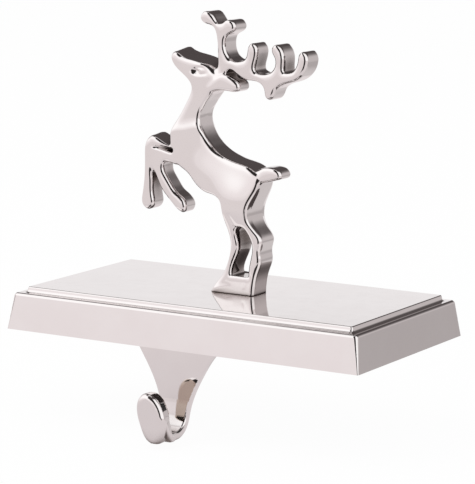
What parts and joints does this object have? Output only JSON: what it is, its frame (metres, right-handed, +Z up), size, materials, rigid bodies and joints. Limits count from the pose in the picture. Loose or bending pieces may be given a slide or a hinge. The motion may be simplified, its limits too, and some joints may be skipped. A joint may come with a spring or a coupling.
{
  "type": "mantel stocking holder",
  "caption": "Bright plated cast plinth with a front hook below and a rearing reindeer figure on top, set on a mantel to hang a stocking.",
  "frame": {"origin": "middle of the underside of the grip pad, which lies on the mantel", "axes": "+X along the plinth's long side to the viewer's right, +Y away from the hook towards the wall, +Z up"},
  "size_m": [0.125, 0.0849, 0.1269],
  "materials": {
    "bright_plate": "polished bright nickel plate on a zinc casting",
    "screw_zinc": "zinc plated steel",
    "pad_rubber": "matt black non-slip sheet"
  },
  "bodies": {
    "root": {"base_casting": "bright_plate", "reindeer": "bright_plate", "figure_screws": "screw_zinc", "grip_pad": "pad_rubber"}
  },
  "joints": []
}
